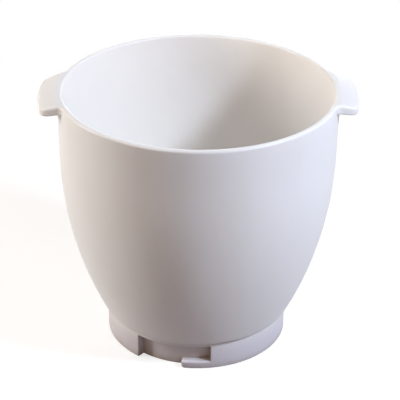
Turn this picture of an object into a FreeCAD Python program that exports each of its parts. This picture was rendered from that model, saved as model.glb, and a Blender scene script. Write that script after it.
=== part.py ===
import FreeCAD, Part
import math
import os
import Sketcher

# One moulded mixing bowl: a drafted wall that curves in to a bayonet foot, and two thumb ears on the rim.
# Frame: origin at the centre of the foot's lower face, +Z up, the ears along X, the front slot towards -Y.
# Azimuths are measured from -Y towards +X.

SIZES = {
    # overall form, outside
    "bowl_height": 202.5,
    "rim_radius": 105.0,
    "rim_land": 8.0,
    "wall_draft": 0.8,
    "belly_height": 154.0,
    "shoulder_radius": 5.0,
    "shoulder_width": 3.5,
    # wall, lip and inside of the bottom
    "wall": 4.0,
    "lip_outer_round": 2.0,
    "lip_inner_round": 1.5,
    "bottom_radius": 40.0,
    # foot ring
    "foot_radius": 69.5,
    "foot_height": 22.2,
    "foot_wall": 4.0,
    "foot_edge_round": 0.8,
    # ears
    "ear_length": 14.0,
    "ear_end_half_width": 27.5,
    "ear_side_angle": 15.0,
    "ear_corner_round": 9.0,
    "ear_root_round": 8.0,
    "ear_brow_radius": 10.0,
    "ear_top_slope": 21.0,
    "ear_under_slope": 14.0,
    "ear_root_thickness": 6.2,
    "ear_under_round": 1.2,
    # bayonet slots
    "slot_count": 2,
    "slot_start": -41.5,
    "slot_end": 7.7,
    "slot_top": 19.5,
    "slot_depth": 6.5,
    "slot_roof": 3.8,
    "slot_back_wall": 3.4,
    "slot_backing_margin": 4.0,
    "tab_start": -11.0,
    "tab_height": 6.0,
    "tab_nose_round": 2.6,
    "tab_edge_round": 1.4,
}

doc = FreeCAD.newDocument("mixing_bowl")
sheet = doc.addObject("Spreadsheet::Sheet", "sizes")
for row, (name, value) in enumerate(SIZES.items(), start=1):
    sheet.set("A%d" % row, name)
    sheet.set("B%d" % row, str(value))
    sheet.setAlias("B%d" % row, name)
doc.recompute()

body = doc.addObject("PartDesign::Body", "bowl")
body.Label = "bowl"
body.Placement = FreeCAD.Placement()
doc.recompute()

ORIGIN = (-1, 1)
X_AXIS, Y_AXIS = -1, -2
NEAR = 0.02
OVERSHOOT = 3


def size(name):
    return float(sheet.get(name))


def plane(role):
    for datum in body.Origin.OriginFeatures:
        if datum.Role == role:
            return datum
    raise ValueError("no origin plane " + role)


class Outline:
    """A sketch on one of the body's origin planes, with dimensions tied to the sheet.

    Its geometry is drawn at an estimate of its place, and the constraints then settle it.
    """

    def __init__(self, name, role, level=None):
        self.sketch = body.newObject("Sketcher::SketchObject", name)
        self.sketch.AttachmentSupport = [(plane(role), "")]
        self.sketch.MapMode = "FlatFace"
        if level:
            self.sketch.setExpression(".AttachmentOffset.Base.z", level)
            doc.recompute()

    def line(self, start, end, helper=False):
        shape = Part.LineSegment(FreeCAD.Vector(*start, 0), FreeCAD.Vector(*end, 0))
        return self.sketch.addGeometry(shape, helper)

    def arc(self, centre, radius, start, end):
        """An arc that runs anticlockwise between two directions, in degrees."""
        circle = Part.Circle(FreeCAD.Vector(*centre, 0), FreeCAD.Vector(0, 0, 1), radius)
        shape = Part.ArcOfCircle(circle, math.radians(start), math.radians(end))
        return self.sketch.addGeometry(shape, False)

    def circle(self, centre, radius):
        shape = Part.Circle(FreeCAD.Vector(*centre, 0), FreeCAD.Vector(0, 0, 1), radius)
        return self.sketch.addGeometry(shape, False)

    def rule(self, kind, *parts):
        return self.sketch.addConstraint(Sketcher.Constraint(kind, *parts))

    def join(self, first, second):
        self.rule("Coincident", *first, *second)

    def smooth(self, first, second):
        self.rule("Tangent", *first, *second)

    def tie(self, expression, kind, *parts):
        """Adds a dimension and ties it to sheet cells."""
        value = self.sketch.evalExpression(expression)
        value = float(getattr(value, "Value", value))
        if kind == "Angle":
            value = math.radians(value)
            expression = "(%s) * 1 deg" % expression
        index = self.rule(kind, *parts, value)
        self.sketch.setExpression("Constraints[%d]" % index, expression)

    def measure(self, name, estimate, kind, *parts):
        """Adds a dimension that only reports what the other constraints give."""
        index = self.rule(kind, *parts, estimate)
        self.sketch.setDriving(index, False)
        self.sketch.renameConstraint(index, name)

    def finish(self):
        doc.recompute()
        problem = self.sketch.solve()
        if problem:
            raise RuntimeError("%s does not solve: %s" % (self.sketch.Name, problem))
        if not self.sketch.FullyConstrained:
            raise RuntimeError(self.sketch.Name + " is not fully constrained")
        return self.sketch


def feature(kind, name, sketch=None, **settings):
    """Adds one feature to the body, sets it up and checks what it does to the volume."""
    before = body.Tip.Shape.Volume if body.Tip and not body.Tip.Shape.isNull() else 0.0
    step = body.newObject("PartDesign::" + kind, name)
    if sketch:
        step.Profile = sketch
        sketch.Visibility = False
    for key, value in settings.items():
        if isinstance(value, str) and value.startswith("="):
            step.setExpression(key, value[1:])
        else:
            setattr(step, key, value)
    doc.recompute()
    if step.State and ("Invalid" in step.State or "Error" in step.State):
        raise RuntimeError("%s failed: %s" % (name, step.getStatusString()))
    change = step.Shape.Volume - before
    if abs(change) < 1e-3:
        raise RuntimeError(name + " changes nothing")
    print("%-18s %+10.0f mm3" % (name, change))
    return step


def edges_where(shape, test):
    return ["Edge%d" % number for number, edge in enumerate(shape.Edges, start=1) if test(edge)]


def spun(kind, name, sketch):
    return feature(kind, name, sketch, ReferenceAxis=(sketch, ["V_Axis"]), Angle=360.0)


# The ears start as a flat blank: a disc of the rim's size with two short fans on it.

rim = size("rim_radius")
top = size("bowl_height")
ear_end = rim + size("ear_length")
EAR_END = "sizes.rim_radius + sizes.ear_length"
BLANK_DEPTH = ("sizes.ear_root_thickness + (sizes.ear_length + sizes.wall) * tan(sizes.ear_under_slope) + %g"
               % OVERSHOOT)


def fan(outline, side):
    """Draws one ear's plan on the side of +X or -X, with sharp corners. Its end is round the bowl's axis."""
    half = size("ear_end_half_width")
    root = rim - 2 * size("wall")
    edge = math.degrees(math.asin(half / ear_end))
    far = math.sqrt(ear_end ** 2 - half ** 2)
    near = half + (far - root) * math.tan(math.radians(size("ear_side_angle")))
    if side > 0:
        end = outline.arc((0, 0), ear_end, -edge, edge)
        lower_tip, upper_tip = (end, 1), (end, 2)
    else:
        end = outline.arc((0, 0), ear_end, 180 - edge, 180 + edge)
        lower_tip, upper_tip = (end, 2), (end, 1)
    lower = outline.line((side * far, -half), (side * root, -near))
    chord = outline.line((side * root, -near), (side * root, near))
    upper = outline.line((side * root, near), (side * far, half))
    outline.join((end, 3), ORIGIN)
    outline.join(lower_tip, (lower, 1))
    outline.join((lower, 2), (chord, 1))
    outline.join((chord, 2), (upper, 1))
    outline.join((upper, 2), upper_tip)
    outline.rule("Symmetric", lower, 2, upper, 1, X_AXIS)
    outline.tie(EAR_END, "Radius", end)
    outline.tie("sizes.ear_end_half_width", "DistanceY", lower, 1, *ORIGIN)
    outline.tie("sizes.ear_end_half_width", "DistanceY", *ORIGIN, upper, 2)
    inner = "sizes.rim_radius - 2 * sizes.wall"
    if side > 0:
        outline.tie(inner, "DistanceX", *ORIGIN, chord, 2)
        outline.tie("sizes.ear_side_angle", "Angle", upper, 2, X_AXIS, 2)
    else:
        outline.tie(inner, "DistanceX", chord, 2, *ORIGIN)
        outline.tie("sizes.ear_side_angle", "Angle", X_AXIS, 1, upper, 2)


disc_plan = Outline("rim_disc_plan", "XY_Plane", "sizes.bowl_height")
ring = disc_plan.circle((0, 0), rim)
disc_plan.join((ring, 3), ORIGIN)
disc_plan.tie("sizes.rim_radius", "Radius", ring)
feature("Pad", "rim_disc", disc_plan.finish(), Length="=" + BLANK_DEPTH, Reversed=True)

ear_plan = Outline("ear_plan", "XY_Plane", "sizes.bowl_height")
for side in (1, -1):
    fan(ear_plan, side)
feature("Pad", "ear_blank", ear_plan.finish(), Length="=" + BLANK_DEPTH, Reversed=True)


def upright(edge):
    ends = [vertex.Point for vertex in edge.Vertexes]
    if len(ends) < 2 or edge.Length < 1.0:
        return False
    return (ends[1] - ends[0]).cross(FreeCAD.Vector(0, 0, 1)).Length < 1e-6 * edge.Length


def middle(edge):
    return edge.valueAt((edge.FirstParameter + edge.LastParameter) / 2)


def reach(point):
    return math.hypot(point.x, point.y)


def rounded(name, radius, test):
    base = body.Tip
    chosen = edges_where(base.Shape, test)
    print(name, "on", len(chosen), "edges")
    return feature("Fillet", name, Base=(base, chosen), Radius="=" + radius)


rounded("ear_corners", "sizes.ear_corner_round",
        lambda edge: upright(edge) and abs(reach(middle(edge)) - ear_end) < NEAR)
rounded("ear_roots", "sizes.ear_root_round",
        lambda edge: upright(edge) and abs(reach(middle(edge)) - rim) < NEAR)

# Under the ears the blank is cut back to a slope, and the whole lower outline is rounded.

under = Outline("ear_under_section", "XZ_Plane")
inner_rim = rim - size("wall")
past_ear = ear_end + OVERSHOOT
PAST_EAR = "%s + %g" % (EAR_END, OVERSHOOT)
root_level = top - size("ear_root_thickness")
slope = math.tan(math.radians(size("ear_under_slope")))
end_level = root_level - (past_ear - inner_rim) * slope
below_blank = end_level - 2 * OVERSHOOT
flat = under.line((0, root_level), (inner_rim, root_level))
fall = under.line((inner_rim, root_level), (past_ear, end_level))
drop = under.line((past_ear, end_level), (past_ear, below_blank))
floor = under.line((past_ear, below_blank), (0, below_blank))
back = under.line((0, below_blank), (0, root_level))
for first, second in ((flat, fall), (fall, drop), (drop, floor), (floor, back), (back, flat)):
    under.join((first, 2), (second, 1))
under.rule("Horizontal", flat)
under.rule("Vertical", drop)
under.rule("Horizontal", floor)
under.rule("PointOnObject", flat, 1, Y_AXIS)
under.rule("PointOnObject", floor, 2, Y_AXIS)
under.tie("sizes.rim_radius - sizes.wall", "DistanceX", *ORIGIN, flat, 2)
under.tie("sizes.bowl_height - sizes.ear_root_thickness", "DistanceY", *ORIGIN, flat, 2)
under.tie("-sizes.ear_under_slope", "Angle", fall)
under.tie(PAST_EAR, "DistanceX", *ORIGIN, fall, 2)
under.tie("sizes.bowl_height - (%s) - %g" % (BLANK_DEPTH, OVERSHOOT), "DistanceY", *ORIGIN, floor, 1)
spun("Groove", "ear_undercut", under.finish())
rounded("ear_under_edge", "sizes.ear_under_round",
        lambda edge: not upright(edge) and reach(middle(edge)) > rim - NEAR
        and middle(edge).z < root_level)

# The bowl itself, outside: foot, shoulder, side arc, drafted wall and rim, turned about the axis.

outside = Outline("outside_section", "XZ_Plane")
foot = size("foot_radius")
foot_top = size("foot_height")
belly = size("belly_height")
draft = math.radians(size("wall_draft"))
land = top - size("rim_land")
belly_reach = rim - (land - belly) * math.tan(draft)
shoulder = size("shoulder_radius")
shoulder_start = (foot + size("shoulder_width"), foot_top + shoulder / 2)
inward, downward = belly_reach - shoulder_start[0], belly - shoulder_start[1]
side_radius = (inward ** 2 + downward ** 2) / (2 * (inward * math.cos(draft) - downward * math.sin(draft)))
side_centre = (belly_reach - side_radius * math.cos(draft), belly + side_radius * math.sin(draft))
turn = math.degrees(math.asin((side_centre[1] - shoulder_start[1]) / side_radius))
shoulder_centre = (shoulder_start[0] - shoulder * math.cos(math.radians(turn)),
                   shoulder_start[1] + shoulder * math.sin(math.radians(turn)))
sole = outside.line((0, 0), (foot, 0))
skirt = outside.line((foot, 0), (foot, foot_top))
tuck = outside.arc(shoulder_centre, shoulder, -2 * turn, -turn)
flank = outside.arc(side_centre, side_radius, -turn, -math.degrees(draft))
wall_line = outside.line((belly_reach, belly), (rim, land))
edge_line = outside.line((rim, land), (rim, top))
lid = outside.line((rim, top), (0, top))
axis = outside.line((0, top), (0, 0))
outside.join((sole, 1), ORIGIN)
outside.join((sole, 2), (skirt, 1))
outside.join((skirt, 2), (tuck, 1))
outside.smooth((tuck, 2), (flank, 1))
outside.smooth((flank, 2), (wall_line, 1))
outside.join((wall_line, 2), (edge_line, 1))
outside.join((edge_line, 2), (lid, 1))
outside.join((lid, 2), (axis, 1))
outside.join((axis, 2), (sole, 1))
outside.rule("Horizontal", sole)
outside.rule("Vertical", skirt)
outside.rule("Vertical", edge_line)
outside.rule("Horizontal", lid)
outside.rule("Vertical", axis)
outside.tie("sizes.foot_radius", "DistanceX", *ORIGIN, sole, 2)
outside.tie("sizes.foot_height", "DistanceY", *ORIGIN, skirt, 2)
outside.tie("sizes.shoulder_radius", "Radius", tuck)
outside.tie("sizes.foot_radius + sizes.shoulder_width", "DistanceX", *ORIGIN, flank, 1)
outside.measure("side_radius", side_radius, "Radius", flank)
outside.tie("sizes.belly_height", "DistanceY", *ORIGIN, wall_line, 1)
outside.tie("90 - sizes.wall_draft", "Angle", wall_line)
outside.tie("sizes.rim_radius", "DistanceX", *ORIGIN, edge_line, 1)
outside.tie("sizes.bowl_height - sizes.rim_land", "DistanceY", *ORIGIN, edge_line, 1)
outside.tie("sizes.bowl_height", "DistanceY", *ORIGIN, edge_line, 2)
outside_section = outside.finish()
side_radius = outside_section.getDatum("side_radius").Value
side_centre = (belly_reach - side_radius * math.cos(draft), belly + side_radius * math.sin(draft))
print("side radius %.1f" % side_radius)
spun("Revolution", "outside_form", outside_section)

# The top of the ears falls away from the edge of the rim, first round a brow and then straight.

brow_section = Outline("ear_brow_section", "XZ_Plane")
brow = size("ear_brow_radius")
fall_angle = math.radians(size("ear_top_slope"))
brow_end = (rim + brow * math.sin(fall_angle), top - brow * (1 - math.cos(fall_angle)))
slope_end = (past_ear, brow_end[1] - (past_ear - brow_end[0]) * math.tan(fall_angle))
bend = brow_section.arc((rim, top - brow), brow, 90 - size("ear_top_slope"), 90)
slant = brow_section.line(brow_end, slope_end)
above_top = top + OVERSHOOT
rise = brow_section.line(slope_end, (past_ear, above_top))
over = brow_section.line((past_ear, above_top), (rim, above_top))
down = brow_section.line((rim, above_top), (rim, top))
brow_section.join((bend, 2), (down, 2))
brow_section.smooth((bend, 1), (slant, 1))
brow_section.join((slant, 2), (rise, 1))
brow_section.join((rise, 2), (over, 1))
brow_section.join((over, 2), (down, 1))
brow_section.rule("Vertical", bend, 3, bend, 2)
brow_section.rule("Vertical", rise)
brow_section.rule("Horizontal", over)
brow_section.rule("Vertical", down)
brow_section.tie("sizes.rim_radius", "DistanceX", *ORIGIN, bend, 2)
brow_section.tie("sizes.bowl_height", "DistanceY", *ORIGIN, bend, 2)
brow_section.tie("sizes.bowl_height + %g" % OVERSHOOT, "DistanceY", *ORIGIN, over, 2)
brow_section.tie("sizes.ear_brow_radius", "Radius", bend)
brow_section.tie("-sizes.ear_top_slope", "Angle", slant)
brow_section.tie(PAST_EAR, "DistanceX", *ORIGIN, slant, 2)
spun("Groove", "ear_brow", brow_section.finish())


def brow_level(radius):
    """The height of the ears' top face at a distance from the axis."""
    if radius <= rim:
        return top
    if radius < brow_end[0]:
        return top - brow + math.sqrt(brow ** 2 - (radius - rim) ** 2)
    return brow_end[1] - (radius - brow_end[0]) * math.tan(fall_angle)


def on_outline(edge):
    """True for the upper outline of the rim and the ears, and false for the lines across an ear's top."""
    point = middle(edge)
    out = reach(point)
    between_corners = abs(point.y) < size("ear_end_half_width") - size("ear_corner_round")
    across = between_corners and out < ear_end - NEAR
    return out > rim - NEAR and not across and abs(point.z - brow_level(out)) < NEAR


rounded("lip_outside", "sizes.lip_outer_round", on_outline)

# The foot is hollow below the bottom, with a block behind each bayonet slot.


def sector(outline, inner_rule, outer_rule, start_rule, end_rule):
    """Draws a ring sector between two radii and two azimuths, which are measured from -Y."""
    inner, outer, start, end = [outline.sketch.evalExpression(rule)
                                for rule in (inner_rule, outer_rule, start_rule + " - 90", end_rule + " - 90")]
    near = outline.arc((0, 0), inner, start, end)
    far = outline.arc((0, 0), outer, start, end)

    def at(radius, angle):
        return (radius * math.cos(math.radians(angle)), radius * math.sin(math.radians(angle)))

    first = outline.line(at(inner, start), at(outer, start))
    last = outline.line(at(inner, end), at(outer, end))
    outline.join((near, 3), ORIGIN)
    outline.join((far, 3), ORIGIN)
    for spoke, end_number in ((first, 1), (last, 2)):
        outline.join((spoke, 1), (near, end_number))
        outline.join((spoke, 2), (far, end_number))
        outline.rule("PointOnObject", *ORIGIN, spoke)
    outline.tie(inner_rule, "Radius", near)
    outline.tie(outer_rule, "Radius", far)
    outline.tie(start_rule + " - 90", "Angle", first)
    outline.tie(end_rule + " - 90", "Angle", last)


cavity = Outline("inside_section", "XZ_Plane")
wall = size("wall")
bottom = size("bottom_radius")
inner_side = side_radius - wall
slot_corner = (foot - size("slot_depth"), size("slot_top"))
bottom_centre = (slot_corner[0] - bottom * 0.6, slot_corner[1] + bottom * 0.9)
lean = math.atan2(side_centre[1] - bottom_centre[1], bottom_centre[0] - side_centre[0])
blend = (side_centre[0] + inner_side * math.cos(lean), side_centre[1] - inner_side * math.sin(lean))
floor_level = bottom_centre[1] - bottom
inner_belly = (side_centre[0] + inner_side * math.cos(draft), side_centre[1] - inner_side * math.sin(draft))
inner_top = (inner_belly[0] + (above_top - inner_belly[1]) * math.tan(draft), above_top)
floor_line = cavity.line((0, floor_level), (bottom_centre[0], floor_level))
bowl_arc = cavity.arc(bottom_centre, bottom, -90, -math.degrees(lean))
side_arc = cavity.arc(side_centre, inner_side, -math.degrees(lean), -math.degrees(draft))
inner_line = cavity.line(inner_belly, inner_top)
roof = cavity.line(inner_top, (0, above_top))
shaft = cavity.line((0, above_top), (0, floor_level))
guard = cavity.line(bottom_centre, slot_corner, helper=True)
cavity.join((floor_line, 1), (shaft, 2))
cavity.smooth((floor_line, 2), (bowl_arc, 1))
cavity.smooth((bowl_arc, 2), (side_arc, 1))
cavity.smooth((side_arc, 2), (inner_line, 1))
cavity.join((inner_line, 2), (roof, 1))
cavity.join((roof, 2), (shaft, 1))
cavity.join((guard, 1), (bowl_arc, 3))
cavity.rule("Horizontal", floor_line)
cavity.rule("Horizontal", roof)
cavity.rule("PointOnObject", shaft, 1, Y_AXIS)
cavity.rule("PointOnObject", shaft, 2, Y_AXIS)
cavity.tie("sizes.bottom_radius", "Radius", bowl_arc)
cavity.tie("outside_section.Constraints.side_radius - sizes.wall * 1 mm", "Radius", side_arc)
cavity.tie("90 - sizes.wall_draft", "Angle", inner_line)
cavity.tie("sizes.bowl_height + %g" % OVERSHOOT, "DistanceY", *ORIGIN, inner_line, 2)
cavity.tie("sizes.belly_height + sizes.wall * sin(sizes.wall_draft)", "DistanceY", *ORIGIN, inner_line, 1)
cavity.tie("sizes.rim_radius - (sizes.bowl_height - sizes.rim_land - sizes.belly_height)"
           " * tan(sizes.wall_draft) - sizes.wall * cos(sizes.wall_draft)",
           "DistanceX", *ORIGIN, inner_line, 1)
cavity.tie("sizes.foot_radius - sizes.slot_depth", "DistanceX", *ORIGIN, guard, 2)
cavity.tie("sizes.slot_top", "DistanceY", *ORIGIN, guard, 2)
cavity.tie("sizes.bottom_radius + sizes.slot_roof", "Distance", guard)
cavity.measure("floor_reach", bottom_centre[0], "DistanceX", *ORIGIN, floor_line, 2)
cavity.measure("floor_level", floor_level, "DistanceY", *ORIGIN, floor_line, 2)
inside_section = cavity.finish()
print("the floor inside is %.1f mm up" % inside_section.getDatum("floor_level").Value)

hollow = Outline("hollow_section", "XZ_Plane")
skin = bottom + wall
found_reach = inside_section.getDatum("floor_reach").Value
found_level = inside_section.getDatum("floor_level").Value - wall
ring_inside = foot - size("foot_wall")
rise_level = found_level + skin - math.sqrt(skin ** 2 - (ring_inside - found_reach) ** 2)
bend_end = math.degrees(math.asin((found_level + skin - rise_level) / skin))
ground = hollow.line((0, 0), (ring_inside, 0))
ring_line = hollow.line((ring_inside, 0), (ring_inside, rise_level))
belly_arc = hollow.arc((found_reach, found_level + skin), skin, -90, -bend_end)
ceiling = hollow.line((found_reach, found_level), (0, found_level))
centre_line = hollow.line((0, found_level), (0, 0))
hollow.join((ground, 1), ORIGIN)
hollow.join((ground, 2), (ring_line, 1))
hollow.join((ring_line, 2), (belly_arc, 2))
hollow.smooth((belly_arc, 1), (ceiling, 1))
hollow.join((ceiling, 2), (centre_line, 1))
hollow.join((centre_line, 2), (ground, 1))
hollow.rule("Horizontal", ground)
hollow.rule("Vertical", ring_line)
hollow.rule("Horizontal", ceiling)
hollow.rule("Vertical", centre_line)
hollow.tie("sizes.foot_radius - sizes.foot_wall", "DistanceX", *ORIGIN, ground, 2)
hollow.tie("sizes.bottom_radius + sizes.wall", "Radius", belly_arc)
hollow.tie("inside_section.Constraints.floor_reach", "DistanceX", *ORIGIN, belly_arc, 1)
hollow.tie("inside_section.Constraints.floor_level - sizes.wall * 1 mm", "DistanceY", *ORIGIN, belly_arc, 1)
spun("Groove", "foot_hollow", hollow.finish())

backing = Outline("slot_backing_plan", "XY_Plane")
sector(backing, "sizes.foot_radius - sizes.slot_depth - sizes.slot_back_wall",
       "sizes.foot_radius - sizes.foot_wall / 2",
       "sizes.slot_start - sizes.slot_backing_margin", "sizes.slot_end + sizes.slot_backing_margin")
backing_pad = feature("Pad", "slot_backing", backing.finish(), Length="=sizes.slot_top + sizes.slot_roof")


def around(name, *originals):
    """Repeats features round the axis, once for each bayonet slot."""
    step = feature("PolarPattern", name, Originals=list(originals), Angle=360.0,
                   Axis=(originals[0].Profile[0], ["N_Axis"]), Occurrences="=sizes.slot_count")
    body.Tip = step
    return step


around("slot_backings", backing_pad)
spun("Groove", "inside_form", inside_section)
lip_middle = rim - (size("wall") + size("lip_outer_round")) / 2
rounded("lip_inside", "sizes.lip_inner_round",
        lambda edge: middle(edge).z > top - NEAR and reach(middle(edge)) < lip_middle)

# Each slot is an upright entry and a level run above the tab that locks the bowl down.

SLOT_BACK = "sizes.foot_radius - sizes.slot_depth"
PAST_FOOT = "sizes.foot_radius + %g" % OVERSHOOT
entry = Outline("slot_entry_plan", "XY_Plane")
sector(entry, SLOT_BACK, PAST_FOOT, "sizes.slot_start", "sizes.tab_start")
slot_entry = feature("Pocket", "slot_entry", entry.finish(), Length="=sizes.slot_top", Reversed=True)

run = Outline("slot_run_plan", "XY_Plane", "sizes.tab_height")
sector(run, SLOT_BACK, PAST_FOOT, "sizes.tab_start", "sizes.slot_end")
slot_run = feature("Pocket", "slot_run", run.finish(), Length="=sizes.slot_top - sizes.tab_height",
                   Reversed=True)
around("slots", slot_entry, slot_run)


def azimuth(point):
    """The direction of a point from the axis, brought back to the front slot's share of the turn."""
    share = 360.0 / size("slot_count")
    turned = math.degrees(math.atan2(point.x, -point.y))
    return (turned + share / 2) % share - share / 2


def level(edge):
    return all(abs(vertex.Z - edge.Vertexes[0].Z) < NEAR for vertex in edge.Vertexes)


def on_foot(edge):
    return abs(reach(middle(edge)) - foot) < NEAR


rounded("tab_noses", "sizes.tab_nose_round",
        lambda edge: level(edge) and abs(middle(edge).z) < NEAR and not on_foot(edge)
        and abs(azimuth(middle(edge)) - size("tab_start")) < NEAR)
rounded("tab_edges", "sizes.tab_edge_round",
        lambda edge: level(edge) and on_foot(edge) and abs(middle(edge).z - size("tab_height")) < NEAR)
rounded("foot_edges", "sizes.foot_edge_round",
        lambda edge: level(edge) and on_foot(edge) and abs(middle(edge).z) < NEAR)

doc.recompute()
for item in doc.Objects:
    if "Invalid" in item.State or "Error" in item.State:
        raise RuntimeError("%s is not sound: %s" % (item.Name, item.State))
shape = body.Shape
if shape.isNull() or not shape.isValid() or len(shape.Solids) != 1:
    raise RuntimeError("the bowl is not one sound solid")
os.makedirs("parts", exist_ok=True)
shape.exportStep("parts/" + body.Label + ".step")
box = shape.optimalBoundingBox(True, False)
print("%.1f x %.1f x %.1f mm, %.0f cm3 of plastic"
      % (box.XLength, box.YLength, box.ZLength, shape.Volume / 1000))
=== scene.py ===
# %% [markdown]
# # A stand mixer bowl in white plastic
#
# The bowl is one moulding: a deep white wall, a rim with two thumb ears, and a hollow foot that turns and
# locks on a mixer. The frame brings it in at its real size, in metres, standing on its foot at the origin.
# The ears lie along X and the front slot faces -Y.
#
# The moulding itself could be modelled again here, but it has only true arcs, tapers and rounds, and the
# frame's solid already has each of them. So its mesh stays as it is, and this lesson is about what makes it
# look like plastic: the colour in the material, the haze in its gloss, the grain of the mould, the light that
# soaks into a thin rim, and the studio round it.

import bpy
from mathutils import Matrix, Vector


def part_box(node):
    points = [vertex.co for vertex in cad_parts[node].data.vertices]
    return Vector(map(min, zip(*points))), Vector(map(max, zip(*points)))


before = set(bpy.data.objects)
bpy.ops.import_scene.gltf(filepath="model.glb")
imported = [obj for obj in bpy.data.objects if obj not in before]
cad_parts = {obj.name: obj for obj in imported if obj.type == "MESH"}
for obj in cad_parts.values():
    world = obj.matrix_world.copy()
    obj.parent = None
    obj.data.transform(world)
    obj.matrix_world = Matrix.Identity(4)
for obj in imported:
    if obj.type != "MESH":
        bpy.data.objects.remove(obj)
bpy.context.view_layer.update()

import math
import bpy
from mathutils import Matrix, Vector

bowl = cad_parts["bowl"]
low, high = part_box("bowl")
height = high.z
print("bowl", [round(1000 * side, 1) for side in high - low], "mm,", len(bowl.data.polygons), "triangles")

# %% [markdown]
# ## A way to write materials as formulas
#
# A finish is mostly arithmetic on masks: where the wall is high, where it faces inwards, where it was rubbed.
# The nodes could be placed one by one, but twenty Math nodes hide the thought behind them. One small class
# wraps a socket, so that `1 - rubbed * 0.3` writes those nodes itself. Colours are left to Mix nodes, because
# a Math node would turn them grey.

# %% A socket that can be used in a formula


class Value:
    """What comes out of a shader node, ready for use in sums."""

    def __init__(self, tree, socket):
        self.tree = tree
        self.socket = socket

    def maths(self, operation, first, second):
        return self.tree.node("ShaderNodeMath", {"operation": operation}, {0: first, 1: second})

    def __add__(self, other):
        return self.maths("ADD", self, other)

    def __sub__(self, other):
        return self.maths("SUBTRACT", self, other)

    def __rsub__(self, other):
        return self.maths("SUBTRACT", other, self)

    def __mul__(self, other):
        return self.maths("MULTIPLY", self, other)

    __radd__ = __add__
    __rmul__ = __mul__

    def ramp(self, start, end):
        """Rises softly from 0, where this value is start, to 1, where it is end."""
        return self.tree.node("ShaderNodeMapRange", {"interpolation_type": "SMOOTHSTEP"},
                              {"Value": self, "From Min": start, "From Max": end})


# %% A tree whose nodes all come from one method


class Tree:
    """The node tree of one material or of the world."""

    def __init__(self, owner):
        owner.use_nodes = True
        self.nodes = owner.node_tree.nodes
        self.links = owner.node_tree.links
        self.nodes.clear()

    def node(self, kind, settings, sockets, output=0):
        """Adds a node, makes its settings first, then fills its sockets, and gives back one output."""
        made = self.nodes.new(kind)
        for name, setting in settings.items():
            setattr(made, name, setting)
        for name, value in sockets.items():
            if isinstance(value, Value):
                self.links.new(value.socket, made.inputs[name])
            else:
                made.inputs[name].default_value = value
        if len(made.outputs) > 0:
            return Value(self, made.outputs[output])

    def noise(self, place, stretch, scale, detail=2.0):
        """Soft random blotches: scale is how many to the metre, and stretch squeezes them along an axis."""
        moved = self.node("ShaderNodeMapping", {}, {"Vector": place, "Scale": stretch})
        return self.node("ShaderNodeTexNoise", {}, {"Vector": moved, "Scale": scale, "Detail": detail})

    def blend(self, share, first, second):
        """Goes from the first colour to the second one as share goes from 0 to 1."""
        return self.node("ShaderNodeMix", {"data_type": "RGBA"}, {0: share, 6: first, 7: second}, output=2)


# %% [markdown]
# ## The white plastic: where things are
#
# The real bowl is moulded from a milky white plastic in one shot. Its finish isn't the same all over: the
# inside is stroked by the beater, the foot is rubbed where it turns on its seat, and thumbs polish the ears.
# Painted masks would need an image. Here each place is known by its height and by the way the wall faces,
# so the masks are worked out from Object coordinates and the normal, and stay on the bowl from any side.

# %% Masks by height and facing
plastic = bpy.data.materials.new("white_plastic")
tree = Tree(plastic)
place = tree.node("ShaderNodeTexCoord", {}, {}, output="Object")
level = tree.node("ShaderNodeSeparateXYZ", {}, {"Vector": place}, output="Z")
outward = tree.node("ShaderNodeVectorMath", {"operation": "MULTIPLY"}, {0: place, 1: (1.0, 1.0, 0.0)})
outward = tree.node("ShaderNodeVectorMath", {"operation": "NORMALIZE"}, {0: outward})
facing = tree.node("ShaderNodeNewGeometry", {}, {}, output="Normal")
facing = tree.node("ShaderNodeVectorMath", {"operation": "DOT_PRODUCT"}, {0: facing, 1: outward}, output="Value")

foot_top = 0.020
hem_top = 0.005
inside_floor = 0.030
rim_band = 0.012
inside = (0 - facing).ramp(0.05, 0.35) * level.ramp(inside_floor, inside_floor + 0.020)
top = level.ramp(height - rim_band, height - 0.004)
foot = 1 - level.ramp(foot_top, foot_top + 0.006)
hem = 1 - level.ramp(0.0005, hem_top)
print("foot up to", round(1000 * foot_top), "mm, rim from", round(1000 * (height - rim_band)), "mm")

# %% [markdown]
# ## The white plastic: its colour
#
# The pigment is never mixed quite evenly, and the plastic flows up the walls from a gate under the bottom, so
# the real white has faint clouds and fainter upright streaks. A flat colour would look like paint. Two noises
# in metres make them: one as wide as a hand for the clouds, and one stretched along the height for the flow.
#
# The foot's lower edge is rubbed by each worktop that it stands on, in patches and not all round.

# %% Clouds, flow lines and a rubbed hem
clouds = tree.noise(place, (1.0, 1.0, 0.7), 16.0, detail=3.0)
flow = tree.noise(place, (1.0, 1.0, 0.035), 260.0)
specks = tree.noise(place, (1.0, 1.0, 1.0), 420.0).ramp(0.66, 0.80)

milk = (0.865, 0.860, 0.868, 1.0)
cream = (0.835, 0.828, 0.812, 1.0)
rubbed_grey = (0.640, 0.630, 0.615, 1.0)
colour = tree.blend(clouds.ramp(0.35, 0.70) * 0.6 + (flow - 0.5) * 0.35, milk, cream)
rubbed = hem * tree.noise(place, (1.0, 1.0, 0.4), 90.0).ramp(0.40, 0.62)
colour = tree.blend(rubbed * 0.35 + specks * 0.05, colour, rubbed_grey)
print("white from", milk[:3], "to", cream[:3])
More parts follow.
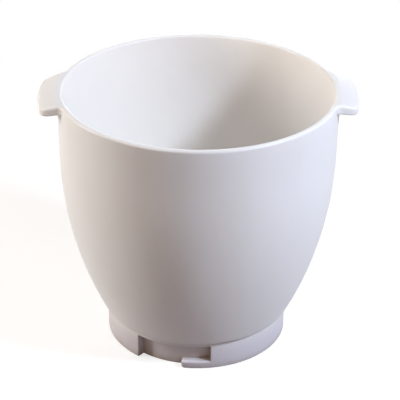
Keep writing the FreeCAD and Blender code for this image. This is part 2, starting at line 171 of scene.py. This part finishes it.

# %% [markdown]
# ## The white plastic: a whiter inside and painted shade
#
# The inside is given a whiter, warmer colour than the outside. The foot is darkened to a bluish grey
# towards the bottom, which is painted shade. In the slots, under the ears and along the step above the foot,
# a warm brown is painted in the corners as shade. Heights alone would miss those corners, so ambient occlusion
# finds them, by how little open air they have near them.

# %% A whiter inside and painted shade on the foot
# The inside walls are given a whiter, warmer colour than the outside.
inner_white = (0.930, 0.905, 0.880, 1.0)
foot_shade_grey = (0.540, 0.505, 0.590, 1.0)
# Painted shade: the foot is darkened towards a bluish grey, most below 8 mm and fading out by 30 mm.
foot_shade = 1 - level.ramp(0.008, 0.030)
colour = tree.blend(inside * 0.9, colour, inner_white)
colour = tree.blend(foot_shade * 0.55, colour, foot_shade_grey)
print("inside", inner_white[:3], "foot towards", foot_shade_grey[:3])

# %% Painted shade in the corners
corner_shade_brown = (0.400, 0.340, 0.300, 1.0)
shade_reach = 0.012
shade_share = 0.8
# Painted shade: corners with little open air, found by ambient occlusion, are darkened towards a warm brown,
# except inside.
open_air = tree.node("ShaderNodeAmbientOcclusion", {"samples": 8}, {"Distance": shade_reach}, output="AO")
painted_shade = (1 - open_air).ramp(0.10, 0.70)
colour = tree.blend(painted_shade * (shade_share - inside * shade_share), colour, corner_shade_brown)
print("film within", round(1000 * shade_reach), "mm of a corner")

# %% [markdown]
# ## The white plastic: its gloss
#
# The mould was blasted to a satin, so the gloss is a haze without a sharp highlight. The beater and years of
# washing leave fine level rings inside, a little duller than the wall, and handling makes the rim and the
# ears a little smoother. Roughness carries all this, because it changes the haze and not the colour.

# %% Haze, rings and handling
rings = tree.noise(place, (6.0, 6.0, 900.0), 1.0).ramp(0.48, 0.70)
ring_patches = tree.noise(place, (1.0, 1.0, 1.0), 30.0).ramp(0.42, 0.60)
scuffs = inside * rings * ring_patches
satin = 0.43
ring_haze = 0.12
thumb_shine = 0.05
haze = satin + (clouds - 0.5) * 0.10 + (flow - 0.5) * 0.06
haze = haze + scuffs * ring_haze + rubbed * 0.15 + foot * 0.03 - top * thumb_shine
print("roughness about", satin, "with rings +", ring_haze, "and rim -", thumb_shine)

# %% [markdown]
# ## The white plastic: its surface
#
# Three things lie in the surface, each of its own size: the grain of the blasted mould, well under a
# millimetre; the rings inside, hardly a hundredth of a millimetre deep; and a slow waviness, because a wall
# this wide never cools quite evenly. Modelled grain would need millions of faces, so two bumps stand for it.
#
# The mesh has its large rounds, but the slots' edges are sharp there. A mould can't make an edge that sharp, so
# a Bevel node turns the normal near each edge, and light runs round it softly.

# %% Softer edges, waviness and grain
edge_round = 0.0012
wave_height = 0.0005
grain_height = 0.00004
ring_depth = 0.4
rounded = tree.node("ShaderNodeBevel", {"samples": 6}, {"Radius": edge_round})
waves = tree.noise(place, (1.0, 1.0, 0.6), 20.0, detail=1.0)
wavy = tree.node("ShaderNodeBump", {}, {
    "Height": waves, "Strength": 1.0, "Distance": wave_height, "Normal": rounded})
grain = tree.noise(place, (1.0, 1.0, 1.0), 1900.0, detail=3.0)
grained = tree.node("ShaderNodeBump", {}, {
    "Height": grain - scuffs * ring_depth, "Strength": 0.6, "Distance": grain_height, "Normal": wavy})
print("waves", 1000 * wave_height, "mm and grain", round(1000 * grain_height, 3), "mm high")

# %% [markdown]
# ## The white plastic: light inside it
#
# Light goes a millimetre or two into this plastic before it comes out again. That is why the thin rim and the
# edges of the slots look soft. Subsurface scattering does this. Its three radii are nearly equal: skin needs red
# to go much further than blue, but on a white plastic that would draw an orange line at each edge. The specular
# level is a little under the plain one, because the blasted grain breaks up part of the shine.

# %% The shader
shader = tree.node("ShaderNodeBsdfPrincipled", {}, {
    "Base Color": colour, "Roughness": haze, "Normal": grained, "IOR": 1.49, "Specular IOR Level": 0.3,
    "Subsurface Weight": 0.9, "Subsurface Radius": (1.0, 0.97, 0.94), "Subsurface Scale": 0.0015})
tree.node("ShaderNodeOutputMaterial", {}, {"Surface": shader})
bowl.data.materials.clear()
bowl.data.materials.append(plastic)
print("plastic has", len(tree.nodes), "nodes")

# %% [markdown]
# ## The floor
#
# The bowl stands in a cut-out white, as in a shop's catalogue. A floor bright enough to be white in the picture
# would throw far too much light up at the foot. So this floor gives back little light, and glows only for the
# camera and for reflections. Round the bowl the glow leaves room for the lamps, so that a shadow shows, and
# further out it rises to plain white, so that no lamp's edge is drawn on the backdrop.

# %% A plane under the foot
floor_side = 20.0
floor_gap = 0.0002
bpy.ops.object.select_all(action="DESELECT")
bpy.ops.mesh.primitive_plane_add(size=floor_side, location=(0.0, 0.0, -floor_gap))
bpy.ops.object.transform_apply(location=True, rotation=True, scale=True)
floor = bpy.context.object
floor.name = "floor"
print("floor", [round(side) for side in floor.dimensions[:2]], "m")

# %% A paper that glows for the camera and keeps the shadow


def seen(tree):
    """1 for what the camera, a reflection or clear plastic shows, and 0 for light that falls on things."""
    kinds = [tree.node("ShaderNodeLightPath", {}, {}, output=ray)
             for ray in ("Is Camera Ray", "Is Glossy Ray", "Is Transmission Ray")]
    return (kinds[0] + kinds[1] + kinds[2]).ramp(0.0, 1.0)


fade_start = 0.22
fade_end = 0.55
bounce_grey = (0.24, 0.23, 0.25, 1.0)
shadow_grey = (0.42, 0.42, 0.42, 1.0)
near_glow = 0.70
paper = bpy.data.materials.new("paper")
tree = Tree(paper)
ground = tree.node("ShaderNodeTexCoord", {}, {}, output="Object")
distance = tree.node("ShaderNodeVectorMath", {"operation": "LENGTH"}, {0: ground}, output="Value")
far = distance.ramp(fade_start, fade_end)
dim = tree.node("ShaderNodeBsdfDiffuse", {}, {"Color": bounce_grey})
grey = tree.node("ShaderNodeBsdfDiffuse", {}, {"Color": shadow_grey})
glow = tree.node("ShaderNodeEmission", {}, {"Strength": near_glow})
near_bowl = tree.node("ShaderNodeAddShader", {}, {0: grey, 1: glow})
white = tree.node("ShaderNodeEmission", {}, {"Strength": 1.0})
pale = tree.node("ShaderNodeMixShader", {}, {0: far, 1: near_bowl, 2: white})
lit = tree.node("ShaderNodeMixShader", {}, {0: seen(tree), 1: dim, 2: pale})
tree.node("ShaderNodeOutputMaterial", {}, {"Surface": lit})
floor.data.materials.append(paper)
print("paper turns white from", fade_start, "to", fade_end, "m")

# %% [markdown]
# ## The room
#
# Besides its lamps, a studio has the light that comes back from its walls. It fills the dark side of the bowl.
# The wall on the left is warm, and the one on the window's side is cooler. The ceiling is further away and
# gives less. The world makes this light from each direction, and shows plain white to the camera.

# %% The light of the room
warm_wall = (0.42, 0.25, 0.10, 1.0)
cool_wall = (0.42, 0.33, 0.36, 1.0)
ceiling_light = (0.17, 0.16, 0.13, 1.0)
world = bpy.data.worlds.new("studio")
bpy.context.scene.world = world
tree = Tree(world)
towards = tree.node("ShaderNodeTexCoord", {}, {}, output="Generated")
rightward = tree.node("ShaderNodeSeparateXYZ", {}, {"Vector": towards}, output="X").ramp(-0.5, 0.8)
upward = tree.node("ShaderNodeSeparateXYZ", {}, {"Vector": towards}, output="Z").ramp(0.15, 1.0)
wall_light = tree.blend(rightward, warm_wall, cool_wall)
room_light = tree.blend(upward, wall_light, ceiling_light)
room = tree.node("ShaderNodeBackground", {}, {"Color": room_light, "Strength": 1.0})
white = tree.node("ShaderNodeBackground", {}, {"Color": (1.0, 1.0, 1.0, 1.0), "Strength": 1.0})
shown = tree.node("ShaderNodeMixShader", {}, {0: seen(tree), 1: room, 2: white})
tree.node("ShaderNodeOutputWorld", {}, {"Surface": shown})
print("room light", warm_wall[:3], "to", cool_wall[:3], "and from above", ceiling_light[:3])

# %% [markdown]
# ## The lamps
#
# The bowl is light at both edges and darkest a little left of the middle, so its light comes from far round at
# both sides. On the left stands a strip, neutral and low. On the right a small window, high and cool, is near
# enough to draw the rim's shadow across the inside with a soft border. A wide, weak lamp behind keeps the back
# from going dark. One lamp from above would have lit the floor of the bowl instead.

# %% Three soft lamps
middle = Vector((0.0, 0.0, height * 0.6))


def soft_lamp(name, azimuth, elevation, distance, width, tall, watts, tint):
    """Puts a lamp on a sphere round the bowl: azimuth 0 is the front, and 90 the right-hand side."""
    data = bpy.data.lights.new(name, "AREA")
    data.shape = "RECTANGLE"
    data.size = width
    data.size_y = tall
    data.energy = watts
    data.color = tint
    lamp = bpy.data.objects.new(name, data)
    turn = math.radians(azimuth)
    rise = math.radians(elevation)
    away = Vector((math.sin(turn) * math.cos(rise), -math.cos(turn) * math.cos(rise), math.sin(rise)))
    lamp.location = away * distance + middle
    lamp.rotation_euler = away.to_track_quat("Z", "Y").to_euler()
    bpy.context.scene.collection.objects.link(lamp)
    print(name, watts, "W at", [round(part, 2) for part in lamp.location])


soft_lamp("window", 60, 38, 1.3, 0.22, 0.22, 16.2, (0.72, 0.81, 0.95))
soft_lamp("strip", -93, 17, 1.0, 0.25, 0.5, 6.7, (1.00, 0.99, 0.96))
soft_lamp("back", 175, 5, 2.0, 1.0, 0.5, 9.5, (0.90, 0.95, 1.00))

# %% [markdown]
# ## The camera
#
# The picture was taken from a good metre away, looking down by about 28 degrees, with the ears almost level.
# The camera stands there. Its turns are written one by one: down to the bowl, then the small ones that put
# the ears and the foot where they are.

# %% The camera at the picture's angle
eye = Vector((-0.0353, -1.1248, 0.7130))
below_level = 28.2435
look_down = math.radians(90 - below_level)
turn = math.radians(-1.9)
roll = math.radians(0.5977)

camera_data = bpy.data.cameras.new("camera")
camera_data.sensor_width = 36.0
camera_data.lens = 149.73
camera = bpy.data.objects.new("camera", camera_data)
camera.matrix_world = (Matrix.Translation(eye) @ Matrix.Rotation(turn, 4, "Z")
                       @ Matrix.Rotation(look_down, 4, "X") @ Matrix.Rotation(roll, 4, "Z"))
bpy.context.scene.collection.objects.link(camera)
bpy.context.scene.camera = camera
bpy.context.scene.view_settings.view_transform = "Standard"
print("camera", round(eye.length, 2), "m away")
